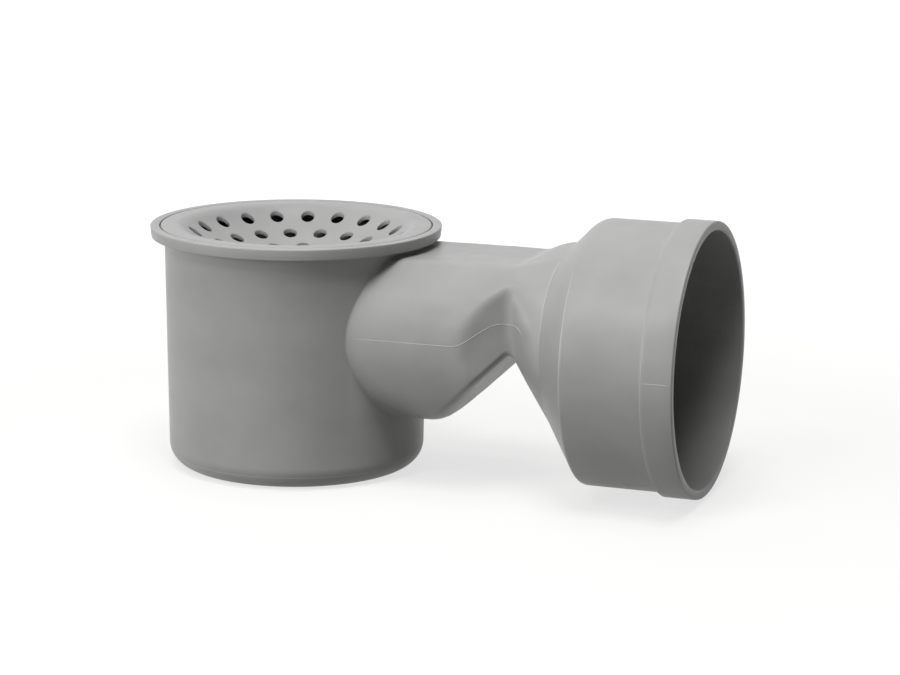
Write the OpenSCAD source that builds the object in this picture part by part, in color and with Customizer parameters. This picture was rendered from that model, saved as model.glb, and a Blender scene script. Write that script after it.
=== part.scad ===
// Floor trap with a dished grate and a side outlet.
// The cup stands on Z = 0 with its axis on Z. The outlet runs along +X.

/* [Pipe socket] */
// Outside diameter of the pipe that the socket takes
pipe_d = 110; // [100:1:125]
// Clearance of the bore on diameter
pipe_clear = 0.4; // [0.2:0.1:1]
// Wall of the socket's barrel
barrel_wall = 2.2; // [1.8:0.1:4]
// Extra wall of the thickened mouth
mouth_extra = 1.8; // [1:0.1:4]
// Length of the thickened mouth
mouth_len = 13.6; // [8:0.2:20]
// Length of the bore, mouth to stop
socket_len = 47; // [35:1:60]
// Height of the socket's axis above the base
socket_z = 61; // [60:0.5:70]
// Mouth plane, measured from the cup's axis
mouth_x = 188.8; // [185:0.2:210]
// Bevel on the mouth's outer and inner edge
mouth_bevel = 0.6; // [0.2:0.1:1]

/* [Cup] */
// Height from the base to the rim's top
cup_h = 107; // [105:1:125]
// Outside diameter just under the rim
cup_d = 115.6; // [112:0.2:122]
// Draft of the side on radius, top to base
cup_draft = 1.5; // [0.5:0.1:2.5]
// Wall of the cup
cup_wall = 3.2; // [2.4:0.1:4]
// Outside radius of the base corner
base_r = 10; // [5:0.5:12]

/* [Rim] */
// How far the rim flange stands out past the cup
rim_over = 6.2; // [5:0.1:9]
// Height of the rim flange
rim_h = 4.8; // [4.6:0.1:7]
// Width of the rim's top outside the grate's seat
rim_wall = 4; // [3:0.1:5]
// Width of the ledge that carries the seal
ledge_w = 1.8; // [1.4:0.1:2]

/* [Grate] */
// Play round the grate, on radius
grate_play = 0.4; // [0.2:0.1:1]
// Thickness of the flat ring
grate_ring_t = 2; // [1.6:0.1:3]
// Thickness of the dished middle
grate_t = 2.5; // [2:0.1:3.5]
// Width of the flat ring inside the dip tube's collar
dish_land = 1.7; // [1.4:0.1:3]
// Inside radius of the dish
dish_r = 79.2; // [75:0.2:110]
// Diameter of a drain hole
hole_d = 5.9; // [4:0.1:7]
// From the dish's edge to the middle of the outer ring of holes
hole_edge = 6.1; // [5:0.1:8]
// Distance from ring to ring
hole_step = 10.1; // [9:0.1:11]
// Holes in the outer ring
hole_count = 20; // [12:4:24]
// Holes fewer in each next ring
hole_fewer = 4; // [2:1:4]
// How the grate happens to lie turned in its seat
grate_turn = 16; // [0:1:90]

/* [Neck] */
// Radius of the neck, outside
neck_r = 41.3; // [38:0.2:43]
// Height of the neck's axis above the base
neck_z = 65.8; // [64:0.2:68]
// Drop of the neck's flat top below the rim's top
flat_drop = 7.4; // [6.5:0.1:12]
// Wall of the neck
neck_wall = 2.4; // [2:0.1:3.4]
// Waist, measured from the cup's axis
waist_x = 109.6; // [104:0.2:112]
// Height of the waist's underside above the base
weir_z = 63.5; // [58:0.1:68]
// Half width of the pinched waist
waist_w = 31.4; // [28:0.2:34]
// Slope of the notch under the neck, in degrees
notch_slope = 46; // [42:1:55]
// Slope of the pinch at each side, in degrees
pinch_slope = 28; // [24:1:36]

/* [Flare and shoulder] */
// Where the flare meets the shoulder
flare_x = 126.2; // [122:0.2:130]
// Radius there, outside
flare_r = 41; // [38:0.2:44]
// Height of the flare's centre above the base
flare_z = 66; // [62:0.2:68]
// Corner of shoulder and barrel
shoulder_x = 140.1; // [136:0.2:144]
// Length of the rounding on that corner, each way
shoulder_round = 3; // [1:0.2:5]

/* [Dip tube] */
// Wall of the dip tube
tube_wall = 1.5; // [1.2:0.1:1.6]
// Outside radius of the tube
tube_r = 42; // [36:0.5:46]
// Depth of the water seal
seal_depth = 50; // [30:1:55]
// Length of the tube's wide collar, below its flange
collar_len = 6.8; // [4:0.1:8]
// Length of the cone from the collar to the tube
cone_len = 15; // [12:1:20]
// Thickness of the tube's flange
flange_t = 1.2; // [0.8:0.1:1.2]
// Thickness of the rubber ring under that flange
seal_t = 1; // [0.8:0.1:1]
// Play of the tube and its ring in the cup, on radius
tube_play = 0.4; // [0.2:0.1:0.6]
// Gap between the tube's flange and the grate above it
hang_gap = 0.2; // [0.1:0.1:0.3]

/* [Hidden] */

$fn = 96;
grey = [0.62, 0.62, 0.61];
rubber = [0.12, 0.12, 0.12];

// How far a cut runs past the face that it opens
over = 1;
// Film of solvent cement between outlet and cup
cement = 0.1;

bore_r = (pipe_d + pipe_clear) / 2;
barrel_r = bore_r + barrel_wall;
mouth_r = barrel_r + mouth_extra;
// Small bevel on the step from barrel to mouth
step_bevel = 0.4;

rim_z = cup_h;
rim_d = cup_d + 2 * rim_over;
seat_d = rim_d - 2 * rim_wall;
rim_under = cup_h - rim_h;
// The rim's side leans in a little towards its lower edge
rim_draft = 0.5;
rim_edge = 0.4;
seat_edge = 0.2;
cup_r = cup_d / 2;
cup_slope = cup_draft / rim_under;
cup_in_r = cup_r - cup_wall;
base_in_r = base_r - cup_wall;

seat_z = cup_h - grate_ring_t;
ledge_z = seat_z - hang_gap - flange_t - seal_t;
ledge_r = cup_in_r + ledge_w;

flange_z = ledge_z + seal_t;
// Gap between the tube's collar and the cup's side, on radius
collar_gap = 0.6;
collar_r = cup_in_r - collar_gap;
collar_z = flange_z - collar_len;
cone_z = collar_z - cone_len;
tube_draft = 0.6;

dish_d = 2 * (collar_r - tube_wall - dish_land);
hole_ring_r = dish_d / 2 - hole_edge;

// Outside radius of the cup's side at height z, and inside
function cup_at(z) = cup_r - cup_slope * (rim_under - z);
function cup_in_at(z) = cup_at(z) - cup_wall;

// Points on an arc, centre, radius, first and last angle, and how many steps
function arc(c, r, a0, a1, n) = [for (i = [0:n]) c + r * [cos(a0 + (a1 - a0) * i / n), sin(a0 + (a1 - a0) * i / n)]];

module cup_outline() {
    polygon(concat(
        [[0, 0]],
        arc([cup_at(base_r) - base_r, base_r], base_r, -90, 0, 12),
        [[cup_r, rim_under],
         [rim_d / 2 - rim_draft, rim_under],
         [rim_d / 2, rim_z - rim_edge],
         [rim_d / 2 - rim_edge, rim_z],
         [seat_d / 2 + seat_edge, rim_z],
         [seat_d / 2, rim_z - seat_edge],
         [seat_d / 2, seat_z],
         [ledge_r, seat_z],
         [ledge_r, ledge_z],
         [cup_in_at(ledge_z), ledge_z]],
        arc([cup_in_at(base_r) - base_in_r, base_r], base_in_r, 0, -90, 10),
        [[0, cup_wall]]));
}

// Neck sections. A section is a list of [y, z] points that starts at the top and goes round.
// Each has the same number of points, with one on each of its corners.
top_steps = 4;
side_steps = 11;
low_steps = 8;
under_steps = 7;
// The neck's corner under the notch is never nearer the middle than this
corner_min = 6;
// How softly the pinch runs into the round side
softness = 24;
// How far the round underside runs softly into the notch, measured up and down
notch_soft = 4;

neck_top = cup_h - flat_drop;
notch_rise = 1.7;
// Height of the standing water, and of the tube's lower end
water_z = weir_z + neck_wall * notch_rise;
tube_z = water_z - seal_depth;

function mix(a, b, u) = a + (b - a) * u;
function steps(a, b, n) = [for (i = [0:n - 1]) mix(a, b, i / n)];
function angles(k) = concat(
    steps(90, k[0], top_steps),
    steps(k[0], 0, side_steps),
    steps(0, k[1], low_steps),
    steps(k[1], -90, under_steps),
    [-90]);

// Distance along a ray at angle a to a line across it, to a line beside it, and to a circle
function to_level(h, a) = h * sin(a) > 0.001 ? h / sin(a) : 1e6;
function to_side(w, a) = cos(a) > 0.001 ? w / cos(a) : 1e6;
function to_circle(c, r, a) = c * sin(a) + sqrt(r * r - pow(c * cos(a), 2));
function soft_min(a, b) = a * b / pow(pow(a, softness) + pow(b, softness), 1 / softness);
function soft_max(a, b, k) = max(a, b) + pow(max(0, k - abs(a - b)), 2) / (4 * k);

// Half a section of the neck at place x, t inside the outer skin. On the slopes the inner skin
// lies further in and further along, so that the wall stays even.
pinch_in = 1.15;
lean = 0.4;
function waist_at(t) = waist_x + lean * t;
function notch_at(x, t) = weir_z + t * notch_rise - max(0, waist_at(t) - x) * tan(notch_slope);
function pinch_at(x, t) = waist_w - t * pinch_in + max(0, waist_at(t) - x) * tan(pinch_slope);
function half_width(z, r) = sqrt(max(0, r * r - pow(z - neck_z, 2)));
function neck_half(x, t) =
    let (
        r = neck_r - t,
        zt = neck_top - t,
        zb = soft_max(notch_at(x, t), neck_z - r, notch_soft),
        w = pinch_at(x, t),
        zc = (zt + zb) / 2,
        key = [
            atan2(zt - zc, half_width(zt, r)),
            atan2(zb - zc, max(corner_min, min(w, half_width(zb, r))))
        ]
    )
    [for (a = angles(key))
        let (d = min(
            to_level(zt - zc, a),
            to_level(zb - zc, a),
            soft_min(to_circle(neck_z - zc, r, a), to_side(w, a))))
        [d * cos(a), zc + d * sin(a)]];

// The waist's corners run out on the flare's end circle at these angles
flare_key = [62, -48];
function circle_half(r, z) = [for (a = angles(flare_key)) [r * cos(a), z + r * sin(a)]];

// The flare bulges on top: there it opens fast at the waist and slower at its end
top_bulge = 1;
low_bulge = -0.05;
function swell(u, bulge) = mix(u, sin(90 * u), bulge);
function flare_half(u, t) =
    let (
        a = neck_half(waist_at(t), t),
        b = circle_half(flare_r - t, flare_z),
        c = angles(flare_key)
    )
    [for (i = [0:len(a) - 1])
        mix(a[i], b[i], swell(u, mix(low_bulge, top_bulge, (1 + sin(c[i])) / 2)))];

// Rings: a ring is a place on X and the whole section there
function ring(x, half) = [
    x,
    concat(half, [for (i = [len(half) - 2:-1:1]) [-half[i][0], half[i][1]]])];
function between(a, b, u) = [
    mix(a[0], b[0], u),
    [for (i = [0:len(a[1]) - 1]) mix(a[1][i], b[1][i], u)]];
// Rings on the soft corner that leaves ring a, bends towards b and ends in c
function soft_corner(a, b, c, n) = [for (i = [1:n])
    between(between(a, b, i / n), between(b, c, i / n), i / n)];

function neck_ring(x, t) = ring(x, neck_half(x, t));
function flare_ring(u, t) = ring(mix(waist_x, flare_x, u) + lean * t, flare_half(u, t));
function barrel_ring(x, r) = ring(x, circle_half(r, socket_z));

neck_start = cup_r / 3;
notch_x = waist_x - (weir_z - neck_z + neck_r) / tan(notch_slope);
bend_start = notch_x - notch_soft / tan(notch_slope);
bend_steps = 14;
waist_round = 2;
waist_steps = 4;
flare_steps = 7;
crease_round = 1;
crease_steps = 2;
shoulder_steps = 5;
// The loft ends inside the barrel's wall, a hair under its skin
root_x = shoulder_x + shoulder_round;
root_lap = 0.05;
root_run = 2;
root_in = 0.7;

// Rings of the skin that lies t inside the outer one, from the cup to the barrel
function skin(t) =
    let (
        along = lean * t,
        r = t == 0 ? barrel_r - root_lap : barrel_r - t,
        u0 = waist_round / (flare_x - waist_x),
        u1 = 1 - crease_round / (flare_x - waist_x),
        pinched = neck_ring(waist_at(t) - waist_round, t),
        crease = flare_ring(1, t),
        shoulder = barrel_ring(shoulder_x + along, r),
        run = shoulder_x - flare_x
    )
    concat(
        [neck_ring(neck_start, t)],
        [for (i = [0:bend_steps]) neck_ring(mix(bend_start, pinched[0], i / bend_steps), t)],
        soft_corner(pinched, neck_ring(waist_at(t), t), flare_ring(u0, t), waist_steps),
        [for (i = [1:flare_steps]) flare_ring(mix(u0, u1, i / flare_steps), t)],
        soft_corner(flare_ring(u1, t), crease, between(crease, shoulder, crease_round / run), crease_steps),
        [between(crease, shoulder, 1 - shoulder_round / run)],
        soft_corner(
            between(crease, shoulder, 1 - shoulder_round / run),
            shoulder,
            barrel_ring(root_x + along, r),
            shoulder_steps),
        [barrel_ring(root_x + root_run, t == 0 ? barrel_r - root_in : bore_r + root_in)]);

// A closed tube wall between an outer and an inner skin with matching rings
module shell(outer, inner) {
    n = len(outer[0][1]);
    k = len(outer);
    pts = [for (s = [outer, inner]) for (r = s) for (p = r[1]) [r[0], p[0], p[1]]];
    function id(s, i, j) = (s * k + i) * n + j % n;
    function quad(a, b, c, d) = [[a, c, b], [a, d, c]];
    sides = [for (i = [0:k - 2]) for (j = [0:n - 1])
        each quad(id(0, i, j), id(0, i + 1, j), id(0, i + 1, j + 1), id(0, i, j + 1))];
    walls = [for (i = [0:k - 2]) for (j = [0:n - 1])
        each quad(id(1, i, j), id(1, i, j + 1), id(1, i + 1, j + 1), id(1, i + 1, j))];
    starts = [for (j = [0:n - 1])
        each quad(id(0, 0, j), id(0, 0, j + 1), id(1, 0, j + 1), id(1, 0, j))];
    ends = [for (j = [0:n - 1])
        each quad(id(0, k - 1, j), id(1, k - 1, j), id(1, k - 1, j + 1), id(0, k - 1, j + 1))];
    polyhedron(pts, concat(sides, walls, starts, ends));
}

// Half section of the grate: dish, rounded edge, flat ring, and the underside back to the middle
dish_edge = 1.5;
module grate_outline() {
    low_r = dish_r + grate_t;
    dish_z = rim_z + sqrt(dish_r * dish_r - dish_d * dish_d / 4);
    edge = [sqrt(pow(dish_r + dish_edge, 2) - pow(dish_z - rim_z + dish_edge, 2)), rim_z - dish_edge];
    edge_a = atan2(dish_z - edge[1], -edge[0]);
    low_a = acos((dish_z - seat_z) / low_r);
    out_r = seat_d / 2 - grate_play;
    polygon(concat(
        arc([0, dish_z], dish_r, -90, edge_a - 180, 14),
        arc(edge, dish_edge, edge_a, 90, 4),
        [[out_r - rim_edge, rim_z],
         [out_r, rim_z - rim_edge],
         [out_r, seat_z]],
        arc([0, dish_z], low_r, low_a - 90, -90, 14)));
}

module cup() {
    color(grey) difference() {
        rotate_extrude() cup_outline();
        port();
    }
}

// The outlet's bore and spigot seat, cut through one side of the cup
spigot_wall = 1.2;
module port() {
    translate([neck_start, 0, 0]) neck_prism(cup_r, neck_wall - spigot_wall - cement);
}

module cup_solid(r, top) {
    cylinder(h = top, r1 = cup_at(0) + r, r2 = cup_at(top) + r);
}

module outlet() {
    color(grey) difference() {
        union() {
            difference() {
                shell(skin(0), skin(neck_wall));
                saddle();
            }
            socket();
        }
        along_socket(mouth_x - socket_len)
            cylinder(h = socket_len + over, r = bore_r);
        along_socket(mouth_x - mouth_bevel)
            cylinder(h = 2 * mouth_bevel, r1 = bore_r, r2 = bore_r + 2 * mouth_bevel);
    }
}

module along_socket(x) {
    translate([x, 0, socket_z]) rotate([0, 90, 0]) children();
}

// What comes off the neck's end: all outside the spigot up to the cup's side, and all inside the cup
module saddle() {
    difference() {
        cup_solid(cement, cup_h);
        translate([neck_start, 0, 0]) neck_prism(cup_r, neck_wall - spigot_wall);
    }
    cup_solid(-cup_wall, cup_h);
}

// A straight bar along X with the neck's section, t inside its skin
module neck_prism(length, t) {
    rotate([90, 0, 90]) linear_extrude(length) polygon(neck_ring(neck_start, t)[1]);
}

module socket() {
    along_socket(root_x) cylinder(h = mouth_x - mouth_len - root_x, r = barrel_r);
    along_socket(mouth_x - mouth_len) cylinder(h = step_bevel, r1 = mouth_r - step_bevel, r2 = mouth_r);
    along_socket(mouth_x - mouth_len + step_bevel)
        cylinder(h = mouth_len - step_bevel - mouth_bevel, r = mouth_r);
    along_socket(mouth_x - mouth_bevel) cylinder(h = mouth_bevel, r1 = mouth_r, r2 = mouth_r - mouth_bevel);
}

module grate() {
    color(grey) difference() {
        rotate_extrude() grate_outline();
        holes();
    }
}

// Rings of holes drilled straight down, and one in the middle
module holes() {
    deep = dish_r;
    rings = floor(hole_ring_r / hole_step);
    translate([0, 0, rim_z - deep / 2]) {
        cylinder(h = deep, d = hole_d);
        for (k = [0:rings - 1]) {
            n = hole_count - k * hole_fewer;
            for (i = [0:n - 1])
                rotate([0, 0, grate_turn + (i + (k % 2) / 2) * 360 / n])
                    translate([hole_ring_r - k * hole_step, 0, 0]) cylinder(h = deep, d = hole_d);
        }
    }
}

// Inner tube that hangs in the cup and dips under the water: flange, collar, cone and pipe
module dip_tube() {
    color(grey) rotate_extrude()
        polygon([
            [ledge_r - tube_play, flange_z],
            [ledge_r - tube_play, flange_z + flange_t],
            [collar_r - tube_wall, flange_z + flange_t],
            [collar_r - tube_wall, collar_z],
            [tube_r - tube_wall, cone_z],
            [tube_r - tube_draft - tube_wall, tube_z],
            [tube_r - tube_draft, tube_z],
            [tube_r, cone_z],
            [collar_r, collar_z],
            [collar_r, flange_z]]);
}

// Flat rubber ring between the tube's flange and the ledge
module seal_ring() {
    color(rubber) rotate_extrude()
        translate([collar_r + tube_play, ledge_z])
            square([ledge_r - collar_r - 2 * tube_play, seal_t]);
}

cup();
outlet();
grate();
dip_tube();
seal_ring();
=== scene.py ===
"""Looks of a grey moulded floor trap: cup with a dished grate, pinched neck and pipe socket.

Sizes are in millimetres, in the frame of the solids, until a piece is finished. Half a section
of the outlet is a list of (y, z) from its top down one side to its bottom. A ring is the whole
section, as points at its place along the outlet.
"""

import math

import bmesh
import bpy
from mathutils import Matrix, Vector, noise


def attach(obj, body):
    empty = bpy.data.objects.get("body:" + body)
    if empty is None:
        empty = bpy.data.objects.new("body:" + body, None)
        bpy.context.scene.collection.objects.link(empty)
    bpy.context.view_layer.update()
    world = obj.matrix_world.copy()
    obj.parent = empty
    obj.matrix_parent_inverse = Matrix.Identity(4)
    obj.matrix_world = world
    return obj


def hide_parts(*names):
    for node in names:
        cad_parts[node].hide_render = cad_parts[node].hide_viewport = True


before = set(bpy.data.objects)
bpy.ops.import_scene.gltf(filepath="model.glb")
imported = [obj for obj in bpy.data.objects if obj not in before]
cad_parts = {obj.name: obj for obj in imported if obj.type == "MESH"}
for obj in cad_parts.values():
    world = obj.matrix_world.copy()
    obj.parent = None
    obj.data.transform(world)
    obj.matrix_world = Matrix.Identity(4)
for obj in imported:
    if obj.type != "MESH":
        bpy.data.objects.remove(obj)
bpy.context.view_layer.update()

MM = 0.001
TURN = 2 * math.pi
# Too short to divide by, and farther off than any face
TINY = 1.0e-6
FAR = 1.0e6
# Points nearer than this are one; the second is for cuts and the edges of drilled cells
MERGE = 0.0005
SLIVER = 0.002
# Faces that meet at more degrees than this keep a sharp edge
SHARP_FROM = 32
# Steps over a turned piece's rounding, and over one that is wide
ROUND_STEPS = 4
WIDE_ROUND = 5.0
WIDE_STEPS = 14
# Steps over the quarter round of a drilled or cut edge
EDGE_STEPS = 3

# Camera, as fitted to the photograph
CAMERA_AT = (518.0, -1240.2, 346.5)
CAMERA_YAW = 19.774
CAMERA_PITCH = 12.200
CAMERA_ROLL = 0.469
CAMERA_LENS = 124.04
CAMERA_SENSOR = 36.0
# How far the camera sees, in metres
CAMERA_SIGHT = 20

# Cup
CUP_H = 107.0
CUP_R = 57.8
CUP_DRAFT = 1.5
CUP_WALL = 3.2
CUP_STEPS = 240
FOOT_ROUND = 10.0
RIM_H = 4.8
RIM_UNDER = CUP_H - RIM_H
RIM_R = 64.0
RIM_DRAFT = 0.5
SEAT_R = 60.0
SEAT_Z = CUP_H - 2.0
LEDGE_R = 56.4
LEDGE_Z = SEAT_Z - 2.4
# Roundings of the rim: at its root, low and high on its outside, at its inner edge and the ledge
RIM_ROOT_ROUND = 0.3
RIM_LOW_ROUND = 0.35
RIM_TOP_ROUND = 0.5
RIM_INNER_ROUND = 0.45
LEDGE_ROUND = 0.2

# Grate: a flat ring round a dish, whose plate is as thick as its holes show it
GRATE_R = 59.5
GRATE_TURN = 16.0
GRATE_STEPS = 240
GRATE_ROUND = 0.6
GRATE_LOW_ROUND = 0.3
PLATE = 1.8
DISH_R = 79.2
DISH_EDGE_R = 50.8
DISH_Z = CUP_H + math.sqrt(DISH_R**2 - DISH_EDGE_R**2)
DISH_LOW_R = DISH_R + PLATE
# How softly the dish runs out into the flat ring, and how many times that far it goes on
DISH_EDGE_SOFT = 2.2
DISH_EDGE_REACH = 1.2
DISH_EDGE_STEPS = 12
# Holes: their rings from the outside in, and the radius inside which the dish is drilled
HOLE_R = 2.95
HOLE_ROUND = 0.3
HOLE_RING_R = 44.7
HOLE_STEP = 10.1
HOLE_COUNTS = (20, 16, 12, 8)
DRILLED_R = 48.7
# Steps along the straight side of a drilled cell, and from its edge to its hole
CELL_SIDE_STEPS = 8
CELL_STEPS = 4

# Neck: a round section with a flat top, which is pinched at its sides and notched from below
NECK_R = 41.3
NECK_Z = 65.8
NECK_TOP = CUP_H - 7.4
NECK_WALL = 2.4
SPIGOT_WALL = 1.2
WAIST_X = 109.6
WAIST_W = 31.4
WAIST_ROUND = 2.6
WEIR_Z = 63.5
NOTCH_SLOPE = math.tan(math.radians(46))
NOTCH_SOFT = 4.0
NOTCH_X = WAIST_X - (WEIR_Z - NECK_Z + NECK_R) / NOTCH_SLOPE
BEND_X = NOTCH_X - NOTCH_SOFT / NOTCH_SLOPE
PINCH_SLOPE = math.tan(math.radians(28))
# What each millimetre under the skin does: raise the weir, narrow the waist and move it along
NOTCH_RISE = 1.7
PINCH_IN = 1.15
LEAN = 0.4
# Roundings between two faces of the neck, measured along each
TOP_EDGE = 1.8
PINCH_EDGE = 1.4
UNDER_EDGE = 8.0
# Least half width at which the lower corner of a section is looked for
CORNER_MIN = 6.0
# Degrees to either side of a section's upper and lower corner that have close points
UPPER_SPAN = 4
LOWER_SPAN = 5
# Steps round half a section: top, upper corner, side, lower corner and bottom
SECTION_STEPS = (6, 10, 40, 12, 8)

# Flare, shoulder and socket
FLARE_X = 126.2
FLARE_R = 41.0
FLARE_Z = 66.0
FLARE_RUN = FLARE_X - WAIST_X
# Angles round which the flare's and the socket's sections keep the close points of the corners
FLARE_CORNERS = (62, -48)
# Points to either side that smooth the pinch's corners away, and how fast they go
FLARE_BLUR = 4
FLARE_BLUR_RATE = 3
# How much the flare bulges on top and below: 0 is straight, 1 is a quarter wave
TOP_BULGE = 1.0
LOW_BULGE = -0.05
# How far the flare's end reaches on further on top, and how narrow that stretch is
TOP_REACH = 3.0
TOP_REACH_POWER = 6
CREASE_ROUND = 0.3
CREASE_STEPS = 4
FIRST_SHARE = WAIST_ROUND / FLARE_RUN
LAST_SHARE = 1 - CREASE_ROUND / FLARE_RUN
SHOULDER_X = 140.1
CONE_RUN = SHOULDER_X - FLARE_X
# The shoulder's rounding at the sides and on top, and how narrow the round stretch is
SHOULDER_ROUND = (1.0, 3.4)
SHOULDER_POWER = 4
SOCKET_Z = 61.0
BORE_R = 55.2
BARREL_R = 57.4
MOUTH_R = 59.2
MOUTH_X = 188.8
# Where the bead that thickens the mouth begins, and where the socket ends inside
BEAD_X = MOUTH_X - 13.6
SOCKET_END_X = MOUTH_X - 47.0
# Edges as (along, outwards) from each corner: the bead's foot and crown, the mouth's outer and
# inner edge, and the socket's end
BEAD_FOOT = ((-1.2, 0), (-0.35, 0.02), (-0.08, 0.16), (0, 0.5))
BEAD_CROWN = ((0.05, -0.5), (0.22, -0.14), (0.6, 0), (2.0, 0))
MOUTH_OUTER = ((-0.9, 0), (-0.35, -0.1), (-0.1, -0.35), (0, -0.8))
MOUTH_INNER = ((0, 0.7), (-0.12, 0.34), (-0.4, 0.08), (-0.9, 0), (-4, 0))
SOCKET_END = ((0.3, 0), (0, -0.3))
# Where an extra ring lies along the barrel and along the thickened mouth
BARREL_SHARE = 0.4
MOUTH_SHARE = 0.6
# Steps round a bend of the outlet's skin, outside and inside
OUTSIDE_FINE = 8
INSIDE_FINE = 6
# How many times as many steps the pinch and the flare have
PINCH_TIMES = 3
FLARE_TIMES = 2
# How far the inside keeps off the socket's end
END_ROOM = 0.2
# How far the outlet sinks into the cup's side, and the room round its spigot in the port
SADDLE_SUNK = 0.05
SPIGOT_ROOM = 0.1
# Where the bar that cuts the port starts, and how far it goes past the side
PORT_START = CUP_R / 3
PORT_PAST = 6

# Unevenness of the neck's skin: how deep, how wide, and along which stretch
SINK_DEEP = 0.28
SINK_SCALE = 13.0
SINK_SPAN = (60.0, 139.0)
SINK_FADE = 14.0
# Its second, finer share: how strong, and how many times as close
SINK_FINE = 0.5
SINK_FINE_RATE = 2.1

# Dip tube and its rubber ring
FLANGE_Z = LEDGE_Z + 1.0
FLANGE_TOP = FLANGE_Z + 1.2
FLANGE_R = LEDGE_R - 0.4
FLANGE_ROUND = 0.5
COLLAR_R = 54.0
COLLAR_Z = FLANGE_Z - 6.8
CONE_Z = COLLAR_Z - 15.0
CONE_ROUND = 2.0
TUBE_R = 42.0
TUBE_DRAFT = 0.6
TUBE_WALL = 1.5
TUBE_ROUND = 0.3
TUBE_STEPS = 160
WATER_Z = WEIR_Z + NECK_WALL * NOTCH_RISE
TUBE_Z = WATER_Z - 50.0
SEAL_R = COLLAR_R + 0.4
SEAL_ROUND = 0.2
SEAL_STEPS = 120

# Moulding lines: sides and radius of a line, how much of it is sunk, and how blunt its tips are
SEAM_SIDES = 8
SEAM_R = 0.17
SEAM_SUNK = 0.3
SEAM_TIP = 0.3
# The parting line runs level along the neck, climbs into the pinch and fades on the flare
PARTING_Z = 67.0
PARTING_TOP = 76.6
PARTING_CLIMB = (87.0, 106.5)
PARTING_FALL = 5.0
PARTING_FALL_X = 113.0
PARTING_END_X = 118.5
PARTING_STEPS = 12
PARTING_TILT = 0.4
PARTING_TAPER = 5
# Where it shows again on the mouth
MOUTH_LINE_Z = 62.6
MOUTH_LINE_X = range(176, 190, 2)
MOUTH_LINE_TAPER = 1
# Flash lines on crease, shoulder and bead, whose lighter grey paints a highlight on these edges:
# from which angle to which on either side, and over how many steps an end fades
CREASE_LINE = (-4, 70)
CREASE_LINE_RING = 1
CREASE_LINE_TAPER = 10
SHOULDER_LINE = (-90, 58)
SHOULDER_LINE_R = 0.27
SHOULDER_LINE_TAPER = 12
BEAD_LINE = (-90, 40)
BEAD_LINE_TAPER = 20
BEAD_LINE_ALONG = 0.3
BEAD_LINE_SUNK = 0.1
# Cement round the joint, and how far it stands off the neck and the cup
JOINT_R = 0.4
JOINT_IN = 0.1
JOINT_OUT = 0.05
# Line of the base insert round the foot of the cup
FOOT_LINE_Z = 5.9
FOOT_LINE_R = 0.16
FOOT_LINE_STEPS = 180
FOOT_LINE_TILT = 0.4

# Colours
PVC_GREY = (0.36, 0.36, 0.357)
TUBE_GREY = (0.05, 0.05, 0.05)
# Grey of the raised moulding lines: the lines are real, and their lighter colour is a painted
# highlight along them
SEAM_HIGHLIGHT_GREY = (0.52, 0.52, 0.515)
RUBBER_BLACKS = ((0.012, 0.012, 0.012), (0.032, 0.031, 0.030))
PAPER_SHADE = (0.26, 0.258, 0.25)
WHITE = (1, 1, 1)
# Patterns of the grey: clouds, and the flow of the melt from top to bottom
CLOUDS = {"scale": 38, "detail": 4, "rough": 0.55}
FLOW = {"scale": 14, "detail": 2, "rough": 0.4, "stretch": (1, 1, 3.5)}
CLOUD_RANGE = (0.7, 1.3)
# How much lighter and darker the clouds make the grey
MOTTLE = 0.07
# Patterns of the skin: worn spots, grain, waves, and the bloom on rubber
WORN = {"scale": 160, "detail": 5, "rough": 0.6}
WORN_RANGE = (0.3, 0.7)
GRAIN = {"scale": 900, "detail": 2}
WAVES = {"scale": 70, "detail": 2}
BLOOM = {"scale": 240, "detail": 4}
# Relief of grain and waves, as strength and depth in metres
GRAIN_RELIEF = (0.05, 0.0002)
WAVE_RELIEF = (0.10, 0.0006)
# Roughness of the skin where it is least and most worn, of rubber and of paper
SATIN = (0.34, 0.43)
RUBBER_DULL = 0.75
PAPER_DULL = 0.9
PVC_IOR = 1.5
PVC_SPECULAR = 0.25
# Sockets of a mix node that is set to colours: its share, both colours and the result
MIX_SHARE = 0
MIX_FIRST = 6
MIX_SECOND = 7
MIX_RESULT = 2

# Studio, in metres: its middle, the lamps' distance, and the floor's half width
STUDIO_CENTRE = Vector((0.06, 0.0, 0.06))
LAMP_REACH = 1.8
FLOOR_SIZE = 6.0
# How far from the middle the floor turns white, and from which glow to which
FLOOR_FADE = (0.25, 0.9)
FLOOR_GLOW = (0.7, 1.0)
SKY_FILL = 0.03
# Each lamp: bearing from the camera towards the left of the picture, height angle, size, power
LAMPS = {
    "lamp_top": (180, 86, 0.4, 5.0),
    "lamp_high": (4, 69, 0.7, 18.6),
    "lamp_key": (36, 46, 0.5, 7.4),
    "lamp_front": (50, 20, 0.5, 3.5),
    "lamp_side": (75, 8, 0.5, 9.8),
    "lamp_back": (175, 52, 1.2, 3.0),
}


# Numbers and places


def mix(a, b, u):
    """The point at share u of the way from a to b."""
    return a + (b - a) * u


def eased(u):
    """A share that starts and ends gently."""
    u = min(1.0, max(0.0, u))
    return u * u * (3 - 2 * u)


def soft_low(a, b, k):
    """The lower of a and b, rounded where they are less than k apart."""
    return min(a, b) - max(0.0, k - abs(a - b)) ** 2 / (4 * k)


def soft_high(a, b, k):
    """The higher of a and b, rounded where they are less than k apart."""
    return max(a, b) + max(0.0, k - abs(a - b)) ** 2 / (4 * k)


def quarter_round(size):
    """Ways in and down over a soft edge, from its flat to its wall."""
    turns = [i * math.pi / (2 * EDGE_STEPS) for i in range(EDGE_STEPS + 1)]
    return [(size * (1 - math.sin(a)), size * (1 - math.cos(a))) for a in turns]


def polar(r, a):
    """A level place that far from the middle, at angle a."""
    return Vector((r * math.cos(a), r * math.sin(a), 0))


# Meshes


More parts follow.
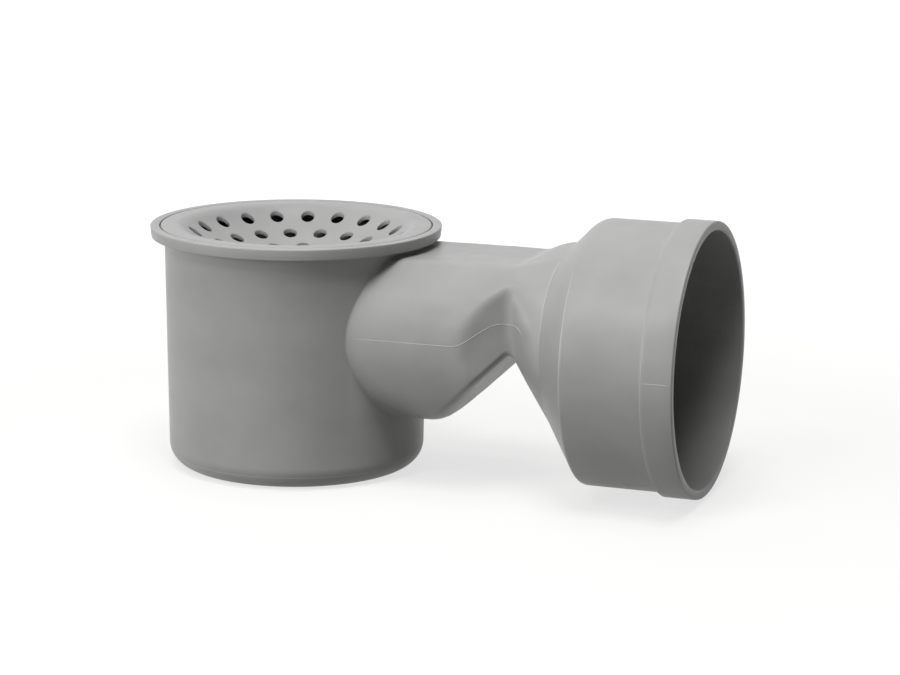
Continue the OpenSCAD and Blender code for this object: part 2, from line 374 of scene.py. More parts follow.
def placed(bm, name, unit=MM):
    """Puts a bmesh into the scene, whose units are that many metres long."""
    bmesh.ops.scale(bm, vec=(unit, unit, unit), verts=bm.verts)
    mesh = bpy.data.meshes.new(name)
    bm.to_mesh(mesh)
    bm.free()
    made = bpy.data.objects.new(name, mesh)
    bpy.context.scene.collection.objects.link(made)
    return made


def finish(bm, name, materials, node):
    """Turns a bmesh into a finished piece that stands for a solid."""
    piece = placed(bm, name)
    piece.data.shade_smooth()
    piece.data.set_sharp_from_angle(angle=math.radians(SHARP_FROM))
    for material in materials:
        piece.data.materials.append(material)
    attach(piece, "root")
    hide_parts(node)


def turned(outline, steps):
    """Spins an outline of (radius, height, rounding) round the Z axis into a closed solid."""
    bm = bmesh.new()
    marks = bm.verts.layers.int.new("corner")
    corners = [bm.verts.new((r, 0, z)) for r, z, _ in outline]
    bm.faces.new(corners)
    sizes = sorted({size for _, _, size in outline if size})
    for vert, (_, _, size) in zip(corners, outline):
        vert[marks] = sizes.index(size) + 1 if size else 0
    for number, size in enumerate(sizes):
        bmesh.ops.bevel(
            bm,
            geom=[v for v in bm.verts if v[marks] == number + 1],
            offset=size,
            offset_type="OFFSET",
            affect="VERTICES",
            segments=WIDE_STEPS if size > WIDE_ROUND else ROUND_STEPS,
            profile=0.5,
            material=-1,
        )
        for vert in bm.verts:
            if vert[marks] == number + 1:
                vert[marks] = 0
    bmesh.ops.delete(bm, geom=bm.faces[:], context="FACES_ONLY")
    on_axis = [e for e in bm.edges if max(abs(v.co.x) for v in e.verts) < TINY]
    bmesh.ops.delete(bm, geom=on_axis, context="EDGES")
    bmesh.ops.spin(
        bm,
        geom=bm.verts[:] + bm.edges[:],
        cent=(0, 0, 0),
        axis=(0, 0, 1),
        angle=TURN,
        steps=steps,
        use_merge=True,
    )
    bmesh.ops.remove_doubles(bm, verts=bm.verts, dist=MERGE)
    bmesh.ops.recalc_face_normals(bm, faces=bm.faces)
    return bm


def loft(bm, rings, capped=False):
    """Skins rings that all have as many points: one is drawn, pulled out and set in place."""
    order = bm.verts.layers.int.get("order") or bm.verts.layers.int.new("order")
    drawn = bmesh.ops.create_circle(bm, segments=len(rings[0]), radius=1)["verts"]
    for number, vert in enumerate(drawn):
        vert[order] = number
        vert.co = rings[0][number]
    first = list(dict.fromkeys(e for v in drawn for e in v.link_edges))
    last = first
    for places in rings[1:]:
        pulled = bmesh.ops.extrude_edge_only(bm, edges=last)["geom"]
        verts = {one for one in pulled if isinstance(one, bmesh.types.BMVert)}
        for vert in verts:
            vert.co = places[vert[order]]
        edges = [one for one in pulled if isinstance(one, bmesh.types.BMEdge)]
        last = [e for e in edges if all(v in verts for v in e.verts)]
    if capped:
        bmesh.ops.holes_fill(bm, edges=first + last, sides=0)


def join(bm, other):
    """Adds another bmesh to this one."""
    mesh = bpy.data.meshes.new("joined")
    other.to_mesh(mesh)
    other.free()
    bm.from_mesh(mesh)
    bpy.data.meshes.remove(mesh)


# Finishes


class Finish:
    """A procedural material, and short ways to add and join its nodes."""

    def __init__(self, name):
        self.material = bpy.data.materials.new(name)
        self.material.use_nodes = True
        self.tree = self.material.node_tree
        self.surface = self.tree.nodes["Principled BSDF"]
        self.place = self.tree.nodes.new("ShaderNodeTexCoord").outputs["Object"]

    def fill(self, node, inputs):
        """Sets a node's inputs, by a link where a value is another node's output."""
        for key, value in inputs.items():
            if isinstance(value, bpy.types.NodeSocket):
                self.tree.links.new(value, node.inputs[key])
            else:
                node.inputs[key].default_value = value

    def node(self, kind, inputs, **settings):
        """A new node with its settings and inputs."""
        made = self.tree.nodes.new("ShaderNode" + kind)
        for key, value in settings.items():
            setattr(made, key, value)
        self.fill(made, inputs)
        return made

    def noise(self, scale, detail, rough=0.5, stretch=(1, 1, 1)):
        """Cloudy noise that stays with the piece."""
        laid = self.node("Mapping", {"Vector": self.place, "Scale": stretch}).outputs["Vector"]
        inputs = {"Vector": laid, "Scale": scale, "Detail": detail, "Roughness": rough}
        return self.node("TexNoise", inputs).outputs["Fac"]

    def spread(self, value, low, high, to_low, to_high):
        """A value stretched from one range to another."""
        inputs = {
            "Value": value,
            "From Min": low,
            "From Max": high,
            "To Min": to_low,
            "To Max": to_high,
        }
        return self.node("MapRange", inputs).outputs["Result"]

    def combine(self, operation, first, second):
        """Two values put together."""
        return self.node("Math", {0: first, 1: second}, operation=operation).outputs[0]

    def bump(self, height, strength, distance, under=None):
        """A relief, laid over another where one is given."""
        inputs = {"Strength": strength, "Distance": distance, "Height": height}
        if under is not None:
            inputs["Normal"] = under
        return self.node("Bump", inputs).outputs["Normal"]


def moulded_pvc(name, shade):
    """Grey PVC as it leaves a mould: a satin skin with faint clouds and a fine waviness."""
    pvc = Finish(name)
    clouds = pvc.combine("ADD", pvc.noise(**CLOUDS), pvc.noise(**FLOW))
    light = pvc.spread(clouds, *CLOUD_RANGE, 1 - MOTTLE, 1 + MOTTLE)
    grey = pvc.node("CombineColor", {"Red": light, "Green": light, "Blue": light})
    clouded = pvc.node(
        "Mix",
        {MIX_SHARE: 1.0, MIX_FIRST: (*shade, 1), MIX_SECOND: grey.outputs["Color"]},
        data_type="RGBA",
        blend_type="MULTIPLY",
    )
    grain = pvc.bump(pvc.noise(**GRAIN), *GRAIN_RELIEF)
    skin = {
        "Base Color": clouded.outputs[MIX_RESULT],
        "Roughness": pvc.spread(pvc.noise(**WORN), *WORN_RANGE, *SATIN),
        "Normal": pvc.bump(pvc.noise(**WAVES), *WAVE_RELIEF, under=grain),
        "IOR": PVC_IOR,
        "Specular IOR Level": PVC_SPECULAR,
    }
    pvc.fill(pvc.surface, skin)
    return pvc.material


def seal_rubber():
    """Black rubber with a dull bloom."""
    rubber = Finish("seal_rubber")
    tone = rubber.node("ValToRGB", {"Fac": rubber.noise(**BLOOM)})
    for element, shade in zip(tone.color_ramp.elements, RUBBER_BLACKS):
        element.color = (*shade, 1)
    skin = {"Base Color": tone.outputs["Color"], "Roughness": RUBBER_DULL}
    rubber.fill(rubber.surface, skin)
    return rubber.material


# Sections and rings of the neck


def cup_at(z):
    """Outside radius of the cup's side at height z."""
    return CUP_R - CUP_DRAFT * (RIM_UNDER - z) / RIM_UNDER


def half_angles(high, low):
    """Angles round half a section, from the top down: close together at its two corners."""
    marks = [90, high + UPPER_SPAN, high - UPPER_SPAN, low + LOWER_SPAN, low - LOWER_SPAN, -90]
    found = []
    for start, end, count in zip(marks, marks[1:], SECTION_STEPS):
        found += [math.radians(mix(start, end, i / count)) for i in range(count)]
    return found + [math.radians(-90)]


def level(height, a):
    """Way along a ray at angle a to a level face."""
    rise = math.sin(a)
    return height / rise if height * rise > TINY else FAR


def beside(width, a):
    """Way along a ray at angle a to a face at the side."""
    run = math.cos(a)
    return width / run if run > TINY else FAR


def round_face(centre, radius, a):
    """Way along a ray at angle a to a round face."""
    return centre * math.sin(a) + math.sqrt(radius**2 - (centre * math.cos(a)) ** 2)


def waist_at(inset):
    """Where along the outlet the waist lies, that far under the skin."""
    return WAIST_X + LEAN * inset


def neck_half(x, inset):
    """Half a section of the neck at x, that far under its skin: flat top, pinch and notch."""
    radius = NECK_R - inset
    short = max(0.0, waist_at(inset) - x)
    top = NECK_TOP - inset
    notch = WEIR_Z + inset * NOTCH_RISE - short * NOTCH_SLOPE
    under = soft_high(notch, NECK_Z - radius, NOTCH_SOFT)
    width = WAIST_W - inset * PINCH_IN + short * PINCH_SLOPE
    middle = (top + under) / 2

    def half_width(z):
        return math.sqrt(max(0.0, radius**2 - (z - NECK_Z) ** 2))

    low_width = max(CORNER_MIN, min(width, half_width(under)))
    high = math.degrees(math.atan2(top - middle, half_width(top)))
    low = math.degrees(math.atan2(under - middle, low_width))
    points = []
    for a in half_angles(high, low):
        reach = soft_low(round_face(NECK_Z - middle, radius, a), beside(width, a), PINCH_EDGE)
        reach = soft_low(reach, level(top - middle, a), TOP_EDGE)
        reach = soft_low(reach, level(under - middle, a), UNDER_EDGE)
        points.append((reach * math.cos(a), middle + reach * math.sin(a)))
    return points


def circle_half(radius, centre):
    """Half a round section."""
    angles = half_angles(*FLARE_CORNERS)
    return [(radius * math.cos(a), centre + radius * math.sin(a)) for a in angles]


def whole(half):
    """Both sides of a section, all the way round."""
    return half + [(-y, z) for y, z in half[-2:0:-1]]


def blurred(half):
    """Half a section with the corners of its side smoothed away."""
    mirrored = [(-y, z) for y, z in half]
    round_it = mirrored[FLARE_BLUR:0:-1] + half + mirrored[-2:-FLARE_BLUR - 2:-1]
    spans = [round_it[i:i + 2 * FLARE_BLUR + 1] for i in range(len(half))]
    return [tuple(sum(side) / len(span) for side in zip(*span)) for span in spans]


def flare_half(u, inset):
    """Half a section of the flare, at share u of its length."""
    crisp = neck_half(waist_at(inset), inset)
    gone = eased(FLARE_BLUR_RATE * u)
    ends = circle_half(FLARE_R - inset, FLARE_Z)
    half = []
    for p, q, end, a in zip(crisp, blurred(crisp), ends, half_angles(*FLARE_CORNERS)):
        bulge = mix(LOW_BULGE, TOP_BULGE, (1 + math.sin(a)) / 2)
        opened = mix(u, math.sin(u * math.pi / 2), bulge)
        half.append(tuple(mix(mix(b, c, gone), d, opened) for b, c, d in zip(p, q, end)))
    return half


def ring(x, half):
    """A section at its place along the outlet."""
    return [Vector((x, y, z)) for y, z in whole(half)]


def neck_ring(x, inset):
    """A ring of the neck."""
    return ring(x, neck_half(x, inset))


def flare_ring(u, inset):
    """A ring of the flare, which runs on a little further on top than at the sides."""
    found = ring(mix(WAIST_X, FLARE_X, u) + LEAN * inset, flare_half(u, inset))
    for p in found:
        rise = max(0.0, p.z - FLARE_Z) / math.hypot(p.y, p.z - FLARE_Z)
        p.x += u * TOP_REACH * rise**TOP_REACH_POWER
    return found


def barrel_ring(x, radius):
    """A ring of the socket."""
    return ring(x, circle_half(radius, SOCKET_Z))


def shoulder_ring(inset):
    """The ring in which the shoulder's cone and the barrel would meet."""
    return barrel_ring(SHOULDER_X + LEAN * inset, BARREL_R - inset)


def cup_ring(half, gap):
    """A section laid on the cup's side, or that far off it."""
    return [Vector((math.sqrt((cup_at(z) + gap) ** 2 - y**2), y, z)) for y, z in whole(half)]


# The outlet's skin


def between(a, b, u):
    """The ring at share u of the way from ring a to ring b."""
    return [p.lerp(q, u) for p, q in zip(a, b)]


def bend(a, b, c, count):
    """Rings on a soft bend that leaves ring a, turns at b and ends in c."""
    shares = [i / count for i in range(1, count + 1)]
    return [between(between(a, b, u), between(b, c, u), u) for u in shares]


def waist_bend(inset, count):
    """Rings round the bottom of the pinch, from the neck to the flare."""
    pinched = neck_ring(waist_at(inset) - WAIST_ROUND, inset)
    waist = neck_ring(waist_at(inset), inset)
    return [pinched] + bend(pinched, waist, flare_ring(FIRST_SHARE, inset), count)


def crease_bend(inset):
    """Rings round the crease, from the flare to the shoulder's cone."""
    crease = flare_ring(1, inset)
    after = between(crease, shoulder_ring(inset), CREASE_ROUND / CONE_RUN)
    return bend(flare_ring(LAST_SHARE, inset), crease, after, CREASE_STEPS)


def shoulder_bend(inset, count):
    """Rings round the shoulder's edge, which is rounder on top than at the sides."""
    crease = flare_ring(1, inset)
    shoulder = shoulder_ring(inset)
    rises = [max(0.0, (p.z - SOCKET_Z) / BARREL_R) for p in shoulder]
    rounds = [mix(*SHOULDER_ROUND, rise**SHOULDER_POWER) for rise in rises]
    start = [p.lerp(q, 1 - r / CONE_RUN) for p, q, r in zip(crease, shoulder, rounds)]
    end = [p + Vector((r, 0, 0)) for p, r in zip(shoulder, rounds)]
    return [start] + bend(start, shoulder, end, count)


def neck_skin(inset, fine):
    """Rings from where the neck stops running straight to the barrel."""
    stop = waist_at(inset) - WAIST_ROUND
    pinch_steps = fine * PINCH_TIMES
    flare_steps = fine * FLARE_TIMES
    rings = [neck_ring(mix(BEND_X, stop, i / pinch_steps), inset) for i in range(pinch_steps)]
    rings += waist_bend(inset, fine)
    for i in range(1, flare_steps + 1):
        rings.append(flare_ring(mix(FIRST_SHARE, LAST_SHARE, i / flare_steps), inset))
    rings += crease_bend(inset)
    shoulder = shoulder_bend(inset, fine)
    return rings + [between(rings[-1], shoulder[0], 0.5)] + shoulder


def socket_rings():
    """Rings over the barrel, round the thickened mouth and back down the bore to its stop."""

    def edge(steps, x, r):
        return [(x + along, r + out) for along, out in steps]

    outline = [(mix(SHOULDER_X, BEAD_X, BARREL_SHARE), BARREL_R)]
    outline += edge(BEAD_FOOT, BEAD_X, BARREL_R)
    outline += edge(BEAD_CROWN, BEAD_X, MOUTH_R)
    outline += [(mix(BEAD_X, MOUTH_X, MOUTH_SHARE), MOUTH_R)]
    outline += edge(MOUTH_OUTER, MOUTH_X, MOUTH_R)
    outline += [(MOUTH_X, mix(MOUTH_R, BORE_R, 0.5))]
    outline += edge(MOUTH_INNER, MOUTH_X, BORE_R)
    outline += [(mix(MOUTH_X, SOCKET_END_X, 0.5), BORE_R)]
    outline += edge(SOCKET_END, SOCKET_END_X, BORE_R)
    return [barrel_ring(x, r) for x, r in outline]


def sunk(place):
    """Where a place on neck or flare comes to lie as the thick moulding sinks and swells."""
    low, high = SINK_SPAN
    share = min((place.x - low) / SINK_FADE, (high - place.x) / SINK_FADE)
    away = Vector((0, place.y, place.z - NECK_Z)).normalized()
    spot = place / SINK_SCALE
    rise = noise.noise(spot) + SINK_FINE * noise.noise(spot * SINK_FINE_RATE)
    return place + away * rise * SINK_DEEP * eased(share)


def make_outlet():
    """The outlet as one skin: over the outside to the mouth, and back inside to the spigot."""
    start = neck_half(BEND_X, 0)
    spigot = neck_half(BEND_X, SPIGOT_WALL)
    bore = neck_half(BEND_X, NECK_WALL)
    outside = neck_skin(0, OUTSIDE_FINE)
    stop = SOCKET_END_X - END_ROOM
    inside = [one for one in neck_skin(NECK_WALL, INSIDE_FINE) if max(p.x for p in one) < stop]
    saddle = cup_ring(start, -SADDLE_SUNK)
    rings = [saddle, between(saddle, outside[0], 0.5)]
    rings += outside + socket_rings() + inside[::-1]
    rings += [cup_ring(bore, -CUP_WALL), cup_ring(spigot, -CUP_WALL)]
    rings += [cup_ring(spigot, -SADDLE_SUNK)]
    bm = bmesh.new()
    loft(bm, rings + rings[:1])
    bmesh.ops.remove_doubles(bm, verts=bm.verts, dist=MERGE)
    bmesh.ops.recalc_face_normals(bm, faces=bm.faces)
    outer = [v for v in bm.verts if v.normal.dot(Vector((0, v.co.y, v.co.z - NECK_Z))) > 0]
    for vert in outer:
        vert.co = sunk(vert.co)
    join(bm, outlet_lines())
    return bm


# Moulding lines, as paths of (place, outward) pairs


def seam(bm, path, radius=SEAM_R, closed=False, taper=0):
    """A thin raised line along a path, partly sunk in the skin."""
    last = len(path) - 1
    turns = [TURN * k / SEAM_SIDES for k in range(SEAM_SIDES)]
    rings = []
    for i, (place, outward) in enumerate(path):
        after = path[(i + 1) % len(path)][0] if closed or i < last else place
        before = path[i - 1][0] if closed or i else place
        along = (after - before).normalized()
        side = along.cross(outward).normalized()
        out = side.cross(along)
        size = radius
        if taper:
            size *= min(1.0, (min(i, last - i) + SEAM_TIP) / taper)
        centre = place - out * radius * SEAM_SUNK
        rings.append([centre + (side * math.cos(a) + out * math.sin(a)) * size for a in turns])
    loft(bm, rings + rings[:1] if closed else rings, capped=not closed)


def side_at(one, z):
    """The place at height z on one side of a ring."""
    down = one[: len(one) // 2 + 1]
    for p, q in zip(down, down[1:]):
        if q.z <= z <= p.z:
            return p.lerp(q, (p.z - z) / max(p.z - q.z, TINY))
    return down[0]


def parting_path(side):
    """Along the straight neck, up into the pinch, across its bottom and down the flare."""
    straight = neck_half(BEND_X, 0)
    start = math.sqrt(cup_at(PARTING_Z) ** 2 - NECK_R**2)
    steps = PARTING_STEPS
    rings = [ring(mix(start, BEND_X, i / steps), straight) for i in range(steps)]
    rings += [one for one in neck_skin(0, steps) if min(p.x for p in one) < PARTING_END_X]
    low, high = PARTING_CLIMB
    path = []
    for one in rings:
        x = min(p.x for p in one)
        fall = max(0.0, (x - PARTING_FALL_X) / (PARTING_END_X - PARTING_FALL_X))
        z = mix(PARTING_Z, PARTING_TOP, eased((x - low) / (high - low))) - PARTING_FALL * fall**2
        place = side_at(one, z)
        place.y *= side
        path.append((sunk(place), Vector((0, place.y, PARTING_TILT * (z - NECK_Z)))))
    return path


def ring_path(one, centre, low, high):
    """The part of a ring, down one side and up the other, between two angles over the level."""
    path = []
    for p in one:
        out = Vector((0, p.y, p.z - centre))
        if low <= math.degrees(math.atan2(out.z, abs(out.y))) <= high:
            path.append((sunk(p), out.normalized()))
    return path


def mouth_path(side):
    """Straight along the thickened mouth."""
    lift = math.asin((MOUTH_LINE_Z - SOCKET_Z) / MOUTH_R)
    out = Vector((0, side * math.cos(lift), math.sin(lift)))
    middle = Vector((0, 0, SOCKET_Z)) + out * MOUTH_R
    return [(middle + Vector((x, 0, 0)), out) for x in MOUTH_LINE_X]


def joint_path():
    """Round the neck where it meets the cup's side."""
    path = []
    for p in cup_ring(neck_half(BEND_X, JOINT_IN), JOINT_OUT):
        off_cup = Vector((p.x, p.y, 0)).normalized()
        off_neck = Vector((0, p.y, p.z - NECK_Z)).normalized()
        path.append((p, off_cup + off_neck))
    return path


def outlet_lines():
    """Parting line and flash at the ends of the mould's inserts, painted lighter as a highlight,
    and cement round the joint.
    """
    bm = bmesh.new()
    crease = ring_path(crease_bend(0)[CREASE_LINE_RING], FLARE_Z, *CREASE_LINE)
    for side in (1, -1):
        seam(bm, parting_path(side), taper=PARTING_TAPER)
        seam(bm, [pair for pair in crease if pair[0].y * side > 0], taper=CREASE_LINE_TAPER)
        seam(bm, mouth_path(side), taper=MOUTH_LINE_TAPER)
    edge = shoulder_bend(0, OUTSIDE_FINE)[OUTSIDE_FINE // 2]
    shoulder = ring_path(edge, SOCKET_Z, *SHOULDER_LINE)
    seam(bm, shoulder, radius=SHOULDER_LINE_R, taper=SHOULDER_LINE_TAPER)
    step = barrel_ring(BEAD_X + BEAD_LINE_ALONG, MOUTH_R - BEAD_LINE_SUNK)
    seam(bm, ring_path(step, SOCKET_Z, *BEAD_LINE), taper=BEAD_LINE_TAPER)
    # The lines so far take the lighter seam grey, which paints a highlight along them; the
    # cement keeps the outlet's grey
    for face in bm.faces:
        face.material_index = 1
    seam(bm, joint_path(), radius=JOINT_R, closed=True)
    bmesh.ops.recalc_face_normals(bm, faces=bm.faces)
    return bm


def cup_lines():
    """The line that the mould's base insert leaves round the foot of the cup, painted lighter as
    a highlight.
    """
    rise = FOOT_ROUND - FOOT_LINE_Z
    reach = cup_at(0) - FOOT_ROUND + math.sqrt(FOOT_ROUND**2 - rise**2)
    height = Vector((0, 0, FOOT_LINE_Z))
    tilt = Vector((0, 0, FOOT_LINE_TILT))
    turns = [TURN * i / FOOT_LINE_STEPS for i in range(FOOT_LINE_STEPS)]
    path = []
    for a in turns:
        out = polar(1, a)
        path.append((out * reach + height, out - tilt))
    bm = bmesh.new()
    seam(bm, path, radius=FOOT_LINE_R, closed=True)
    # The foot line takes the lighter seam grey, which paints a highlight along it
    for face in bm.faces:
        face.material_index = 1
    bmesh.ops.recalc_face_normals(bm, faces=bm.faces)
    return bm


# Cup


def port_bar():
    """A bar with the spigot's section, to cut the cup's side with."""
    section = neck_half(BEND_X, SPIGOT_WALL - SPIGOT_ROOM)
    bm = bmesh.new()
    loft(bm, [ring(PORT_START, section), ring(CUP_R + PORT_PAST, section)], capped=True)
    bmesh.ops.recalc_face_normals(bm, faces=bm.faces)
    return placed(bm, "port_bar")


def make_cup():
    """The cup, turned from its outline, with its port cut and its line laid on."""
    outline = [
        (0, 0, 0),
        (cup_at(0), 0, FOOT_ROUND),
        (CUP_R, RIM_UNDER, RIM_ROOT_ROUND),
        (RIM_R - RIM_DRAFT, RIM_UNDER, RIM_LOW_ROUND),
        (RIM_R, CUP_H, RIM_TOP_ROUND),
        (SEAT_R, CUP_H, RIM_INNER_ROUND),
        (SEAT_R, SEAT_Z, LEDGE_ROUND),
        (LEDGE_R, SEAT_Z, LEDGE_ROUND),
        (LEDGE_R, LEDGE_Z, LEDGE_ROUND),
        (cup_at(LEDGE_Z) - CUP_WALL, LEDGE_Z, LEDGE_ROUND),
        (cup_at(0) - CUP_WALL, CUP_WALL, FOOT_ROUND - CUP_WALL),
        (0, CUP_WALL, 0),
    ]
    blank = placed(turned(outline, CUP_STEPS), "cup_blank")
    bar = port_bar()
    cut = blank.modifiers.new("port", "BOOLEAN")
    cut.operation = "DIFFERENCE"
    cut.solver = "EXACT"
    cut.object = bar
    bpy.context.view_layer.update()
    bm = bmesh.new()
    bm.from_object(blank, bpy.context.evaluated_depsgraph_get())
    for done in (blank, bar):
        mesh = done.data
        bpy.data.objects.remove(done)
        bpy.data.meshes.remove(mesh)
    bmesh.ops.scale(bm, vec=(1 / MM, 1 / MM, 1 / MM), verts=bm.verts)
    bmesh.ops.remove_doubles(bm, verts=bm.verts, dist=SLIVER)
    bmesh.ops.dissolve_degenerate(bm, edges=bm.edges, dist=SLIVER)
    join(bm, cup_lines())
    return bm


# Grate


def dish_top(r):
    """Height of the plate's top, that far from the middle."""
    return soft_low(DISH_Z - math.sqrt(DISH_R**2 - r**2), CUP_H, DISH_EDGE_SOFT)


def dish_low(r):
    """Height of the plate's underside, that far from the middle."""
    return DISH_Z - math.sqrt(DISH_LOW_R**2 - r**2)


def cell_edge(inner, outer, start, end, count):
    """Points round a cell of the dish, anticlockwise from its inner corner."""
    sides = [i / CELL_SIDE_STEPS for i in range(CELL_SIDE_STEPS)]
    arcs = [i / count for i in range(count)]
    points = [polar(mix(inner, outer, u), start) for u in sides]
    points += [polar(outer, mix(start, end, u)) for u in arcs]
    points += [polar(mix(outer, inner, u), end) for u in sides]
    points += [polar(inner, mix(end, start, u)) for u in arcs]
    return points


def hole_ring(centre, points, radius):
    """Points of a round hole, each towards its point of the cell's edge."""
    return [centre + (p - centre).normalized() * radius for p in points]


def drill(bm, centre, edge):
    """The plate of one cell round its hole, with the hole's soft edges and its wall."""
    reach = hole_ring(centre, edge, HOLE_R + HOLE_ROUND)
    plan = [(between(edge, reach, i / CELL_STEPS), 0) for i in range(CELL_STEPS + 1)]
    for wide, deep in quarter_round(HOLE_ROUND)[1:]:
        plan.append((hole_ring(centre, edge, HOLE_R + wide), deep))
    rings = [[Vector((p.x, p.y, dish_top(p.length) - deep)) for p in rim] for rim, deep in plan]
    for rim, deep in plan[::-1]:
        rings.append([Vector((p.x, p.y, dish_low(p.length) + deep)) for p in rim])
    loft(bm, rings)


def grate_bands(bm):
    """Rings of like cells round the dish, one drilled and the others turned copies of it."""
    for k, holes in enumerate(HOLE_COUNTS):
        inner = HOLE_RING_R - (k + 0.5) * HOLE_STEP
        outer = min(inner + HOLE_STEP, DRILLED_R)
        half = math.pi / holes
        middle = math.radians(GRATE_TURN) + (k % 2) * half
        edge = cell_edge(inner, outer, middle - half, middle + half, GRATE_STEPS // holes)
        cell = bmesh.new()
        drill(cell, polar(HOLE_RING_R - k * HOLE_STEP, middle), edge)
        bmesh.ops.spin(
            cell,
            geom=cell.verts[:] + cell.edges[:] + cell.faces[:],
            cent=(0, 0, 0),
            axis=(0, 0, 1),
            angle=TURN * (holes - 1) / holes,
            steps=holes - 1,
            use_duplicate=True,
        )
        join(bm, cell)
    return inner


def grate_border():
    """Outline of the flat ring: out from the drilled dish over its soft edge, and back below."""
    level_r = DISH_EDGE_R + DISH_EDGE_SOFT * DISH_EDGE_REACH
    steps = DISH_EDGE_STEPS
    radii = [mix(DRILLED_R, level_r, i / steps) for i in range(steps + 1)]
    outline = [(r, dish_top(r)) for r in radii]
    outline += [(mix(level_r, GRATE_R, 0.5), CUP_H)]
    outline += [(GRATE_R - back, CUP_H - deep) for back, deep in quarter_round(GRATE_ROUND)]
    outline += [
        (GRATE_R, SEAT_Z + GRATE_LOW_ROUND),
        (GRATE_R - GRATE_LOW_ROUND, SEAT_Z),
        (math.sqrt(DISH_LOW_R**2 - (DISH_Z - SEAT_Z) ** 2), SEAT_Z),
        (DRILLED_R, dish_low(DRILLED_R)),
    ]
    return outline


def make_grate():
    """The grate: its bands of holes, the cell in the middle and the flat ring."""
    bm = bmesh.new()
    inner = grate_bands(bm)
    start = math.radians(GRATE_TURN) - math.pi / HOLE_COUNTS[0]
    turns = [start + TURN * i / GRATE_STEPS for i in range(GRATE_STEPS)]
    drill(bm, Vector((0, 0, 0)), [polar(inner, a) for a in turns])
    rings = [[polar(r, a) + Vector((0, 0, z)) for a in turns] for r, z in grate_border()]
    loft(bm, rings)
    bmesh.ops.remove_doubles(bm, verts=bm.verts, dist=SLIVER)
    bmesh.ops.recalc_face_normals(bm, faces=bm.faces)
    return bm


# Dip tube and its ring


def make_dip_tube():
    """The tube that hangs by its flange and dips under the water."""
    inner = COLLAR_R - TUBE_WALL
    low_r = TUBE_R - TUBE_DRAFT
    outline = [
        (FLANGE_R, FLANGE_Z, SEAL_ROUND),
        (FLANGE_R, FLANGE_TOP, TUBE_ROUND),
        (inner, FLANGE_TOP, FLANGE_ROUND),
        (inner, COLLAR_Z, CONE_ROUND),
        (TUBE_R - TUBE_WALL, CONE_Z, CONE_ROUND),
        (low_r - TUBE_WALL, TUBE_Z, TUBE_ROUND),
        (low_r, TUBE_Z, TUBE_ROUND),
        (TUBE_R, CONE_Z, CONE_ROUND),
        (COLLAR_R, COLLAR_Z, CONE_ROUND),
        (COLLAR_R, FLANGE_Z, TUBE_ROUND),
    ]
    return turned(outline, TUBE_STEPS)


def make_seal_ring():
    """The flat rubber ring between flange and ledge."""
    outline = [
        (SEAL_R, LEDGE_Z, SEAL_ROUND),
        (FLANGE_R, LEDGE_Z, SEAL_ROUND),
        (FLANGE_R, FLANGE_Z, SEAL_ROUND),
        (SEAL_R, FLANGE_Z, SEAL_ROUND),
    ]
    return turned(outline, SEAL_STEPS)


# Studio


def studio_lamp(name, bearing, height, size, power):
    """A square soft box on a ball round the object, pointed at its middle."""
    turn = math.radians(CAMERA_YAW - 90 - bearing)
    lift = math.radians(height)
    way = polar(math.cos(lift), turn) + Vector((0, 0, math.sin(lift)))
    lamp = bpy.data.lights.new(name, "AREA")
    lamp.size = size
    lamp.energy = power
    held = bpy.data.objects.new(name, lamp)
    held.location = STUDIO_CENTRE + way * LAMP_REACH
    held.rotation_euler = (-way).to_track_quat("-Z", "Y").to_euler()
    bpy.context.scene.collection.objects.link(held)


def background_rays(tree):
    """One for a ray that shows the background: to the camera, in a gloss or through glass."""
    rays = tree.nodes.new("ShaderNodeLightPath")
    seen = rays.outputs["Is Camera Ray"]
    for kind in ("Is Glossy Ray", "Is Transmission Ray"):
        either = tree.nodes.new("ShaderNodeMath")
        either.operation = "MAXIMUM"
        tree.links.new(seen, either.inputs[0])
        tree.links.new(rays.outputs[kind], either.inputs[1])
        seen = either.outputs[0]
    return seen


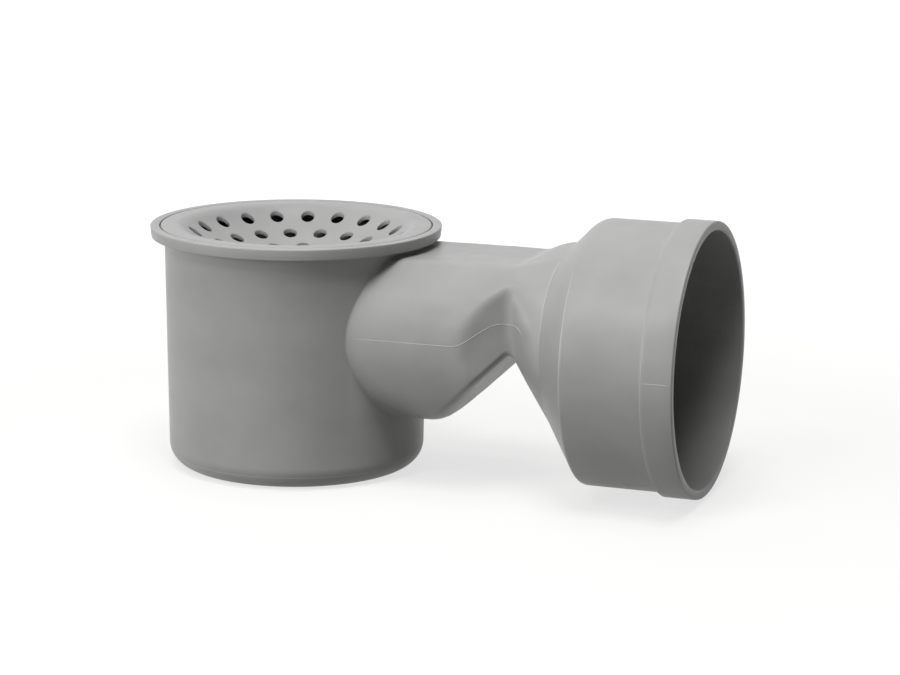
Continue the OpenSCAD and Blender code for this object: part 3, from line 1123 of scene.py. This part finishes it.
def studio_floor():
    """A pale flat floor: it keeps the object's shadow, and turns white away from it."""
    bm = bmesh.new()
    bmesh.ops.create_grid(bm, x_segments=1, y_segments=1, size=FLOOR_SIZE)
    floor = placed(bm, "studio_floor", unit=1)
    paper = Finish("floor_paper")
    ends = {0: paper.place, 1: STUDIO_CENTRE}
    away = paper.node("VectorMath", ends, operation="DISTANCE").outputs["Value"]
    glow = paper.spread(away, *FLOOR_FADE, *FLOOR_GLOW)
    sheet = {
        "Base Color": (*PAPER_SHADE, 1),
        "Roughness": PAPER_DULL,
        "Emission Color": (*WHITE, 1),
        "Emission Strength": paper.combine("MULTIPLY", background_rays(paper.tree), glow),
    }
    paper.fill(paper.surface, sheet)
    floor.data.materials.append(paper.material)


def studio_sky():
    """White surroundings that light the object faintly."""
    world = bpy.data.worlds.new("studio")
    bpy.context.scene.world = world
    world.use_nodes = True
    tree = world.node_tree
    around = tree.nodes["Background"]
    around.inputs["Color"].default_value = (*WHITE, 1)
    strength = tree.nodes.new("ShaderNodeMapRange")
    strength.inputs["To Min"].default_value = SKY_FILL
    strength.inputs["To Max"].default_value = 1.0
    tree.links.new(background_rays(tree), strength.inputs["Value"])
    tree.links.new(strength.outputs["Result"], around.inputs["Strength"])


def studio_camera():
    """The camera, as it stood for the photograph."""
    lens = bpy.data.cameras.new("camera")
    lens.lens = CAMERA_LENS
    lens.sensor_width = CAMERA_SENSOR
    lens.clip_end = CAMERA_SIGHT
    camera = bpy.data.objects.new("camera", lens)
    camera.matrix_world = (
        Matrix.Translation(Vector(CAMERA_AT) * MM)
        @ Matrix.Rotation(math.radians(CAMERA_YAW), 4, "Z")
        @ Matrix.Rotation(math.radians(90 - CAMERA_PITCH), 4, "X")
        @ Matrix.Rotation(math.radians(CAMERA_ROLL), 4, "Z")
    )
    bpy.context.scene.collection.objects.link(camera)
    bpy.context.scene.camera = camera


cup_pvc = moulded_pvc("cup_pvc", PVC_GREY)
outlet_pvc = moulded_pvc("outlet_pvc", PVC_GREY)
grate_pvc = moulded_pvc("grate_pvc", PVC_GREY)
tube_pvc = moulded_pvc("tube_pvc", TUBE_GREY)
# The moulding lines' material: its lighter grey paints the highlight that their edges catch
seam_highlight_pvc = moulded_pvc("seam_highlight_pvc", SEAM_HIGHLIGHT_GREY)

finish(make_cup(), "cup_body", [cup_pvc, seam_highlight_pvc], "cup")
finish(make_outlet(), "outlet_body", [outlet_pvc, seam_highlight_pvc], "outlet")
finish(make_grate(), "grate_plate", [grate_pvc], "grate")
finish(make_dip_tube(), "dip_tube_body", [tube_pvc], "dip_tube")
finish(make_seal_ring(), "seal_ring_body", [seal_rubber()], "seal_ring")

for lamp_name, setting in LAMPS.items():
    studio_lamp(lamp_name, *setting)
studio_floor()
studio_sky()
studio_camera()
bpy.context.scene.view_settings.view_transform = "Standard"
